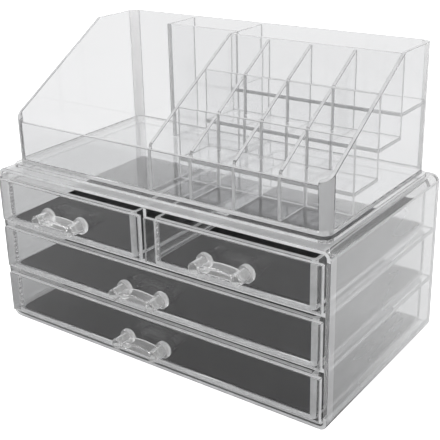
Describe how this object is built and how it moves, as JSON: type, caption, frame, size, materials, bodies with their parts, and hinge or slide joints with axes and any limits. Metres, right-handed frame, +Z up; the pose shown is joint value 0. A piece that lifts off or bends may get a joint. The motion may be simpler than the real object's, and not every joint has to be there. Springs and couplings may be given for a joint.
{
  "type": "desktop drawer organizer",
  "caption": "Clear countertop organizer: a chest of small lined drawers with a lift-off divided tray on top that has stepped slots and open compartments.",
  "frame": {"origin": "centre of the chest's footprint, on the surface it stands on", "axes": "+Z up; the drawer fronts face -Y; +X is to the right for someone who faces the fronts"},
  "size_m": [0.24, 0.1506, 0.1864],
  "materials": {
    "case_acrylic": "clear polished",
    "drawer_acrylic": "clear polished",
    "handle_acrylic": "clear polished",
    "tray_acrylic": "clear polished",
    "dark_liner": "matt fine mesh"
  },
  "bodies": {
    "chest": {"case_sleeve": "case_acrylic", "case_back": "case_acrylic", "base_shelf": "case_acrylic", "lower_shelf": "case_acrylic", "upper_shelf": "case_acrylic", "upright": "case_acrylic"},
    "top_left_drawer": {"top_left_drawer_front": "drawer_acrylic", "top_left_drawer_box": "drawer_acrylic", "top_left_drawer_liner": "dark_liner", "top_left_drawer_handle": "handle_acrylic"},
    "top_right_drawer": {"top_right_drawer_front": "drawer_acrylic", "top_right_drawer_box": "drawer_acrylic", "top_right_drawer_liner": "dark_liner", "top_right_drawer_handle": "handle_acrylic"},
    "middle_drawer": {"middle_drawer_front": "drawer_acrylic", "middle_drawer_box": "drawer_acrylic", "middle_drawer_liner": "dark_liner", "middle_drawer_handle": "handle_acrylic"},
    "bottom_drawer": {"bottom_drawer_front": "drawer_acrylic", "bottom_drawer_box": "drawer_acrylic", "bottom_drawer_liner": "dark_liner", "bottom_drawer_handle": "handle_acrylic"},
    "tray": {"tray_shell": "tray_acrylic", "main_partition": "tray_acrylic", "lane_partition_1": "tray_acrylic", "lane_partition_2": "tray_acrylic", "lane_partition_3": "tray_acrylic", "cross_wall_1": "tray_acrylic", "cross_wall_2": "tray_acrylic", "cross_wall_3": "tray_acrylic", "row_floor_2": "tray_acrylic", "row_floor_3": "tray_acrylic", "row_floor_4": "tray_acrylic", "corner_box_front": "tray_acrylic", "corner_box_side": "tray_acrylic"}
  },
  "joints": [
    {"name": "top_left_drawer_slide", "type": "slide", "parent": "chest", "child": "top_left_drawer", "axis": [0, -1, 0], "range_m": [0, 0.1]},
    {"name": "top_right_drawer_slide", "type": "slide", "parent": "chest", "child": "top_right_drawer", "axis": [0, -1, 0], "range_m": [0, 0.1]},
    {"name": "middle_drawer_slide", "type": "slide", "parent": "chest", "child": "middle_drawer", "axis": [0, -1, 0], "range_m": [0, 0.1]},
    {"name": "bottom_drawer_slide", "type": "slide", "parent": "chest", "child": "bottom_drawer", "axis": [0, -1, 0], "range_m": [0, 0.1]},
    {"name": "tray_lift", "type": "slide", "parent": "chest", "child": "tray", "axis": [0, 0, 1], "range_m": [0, 0.1]}
  ]
}
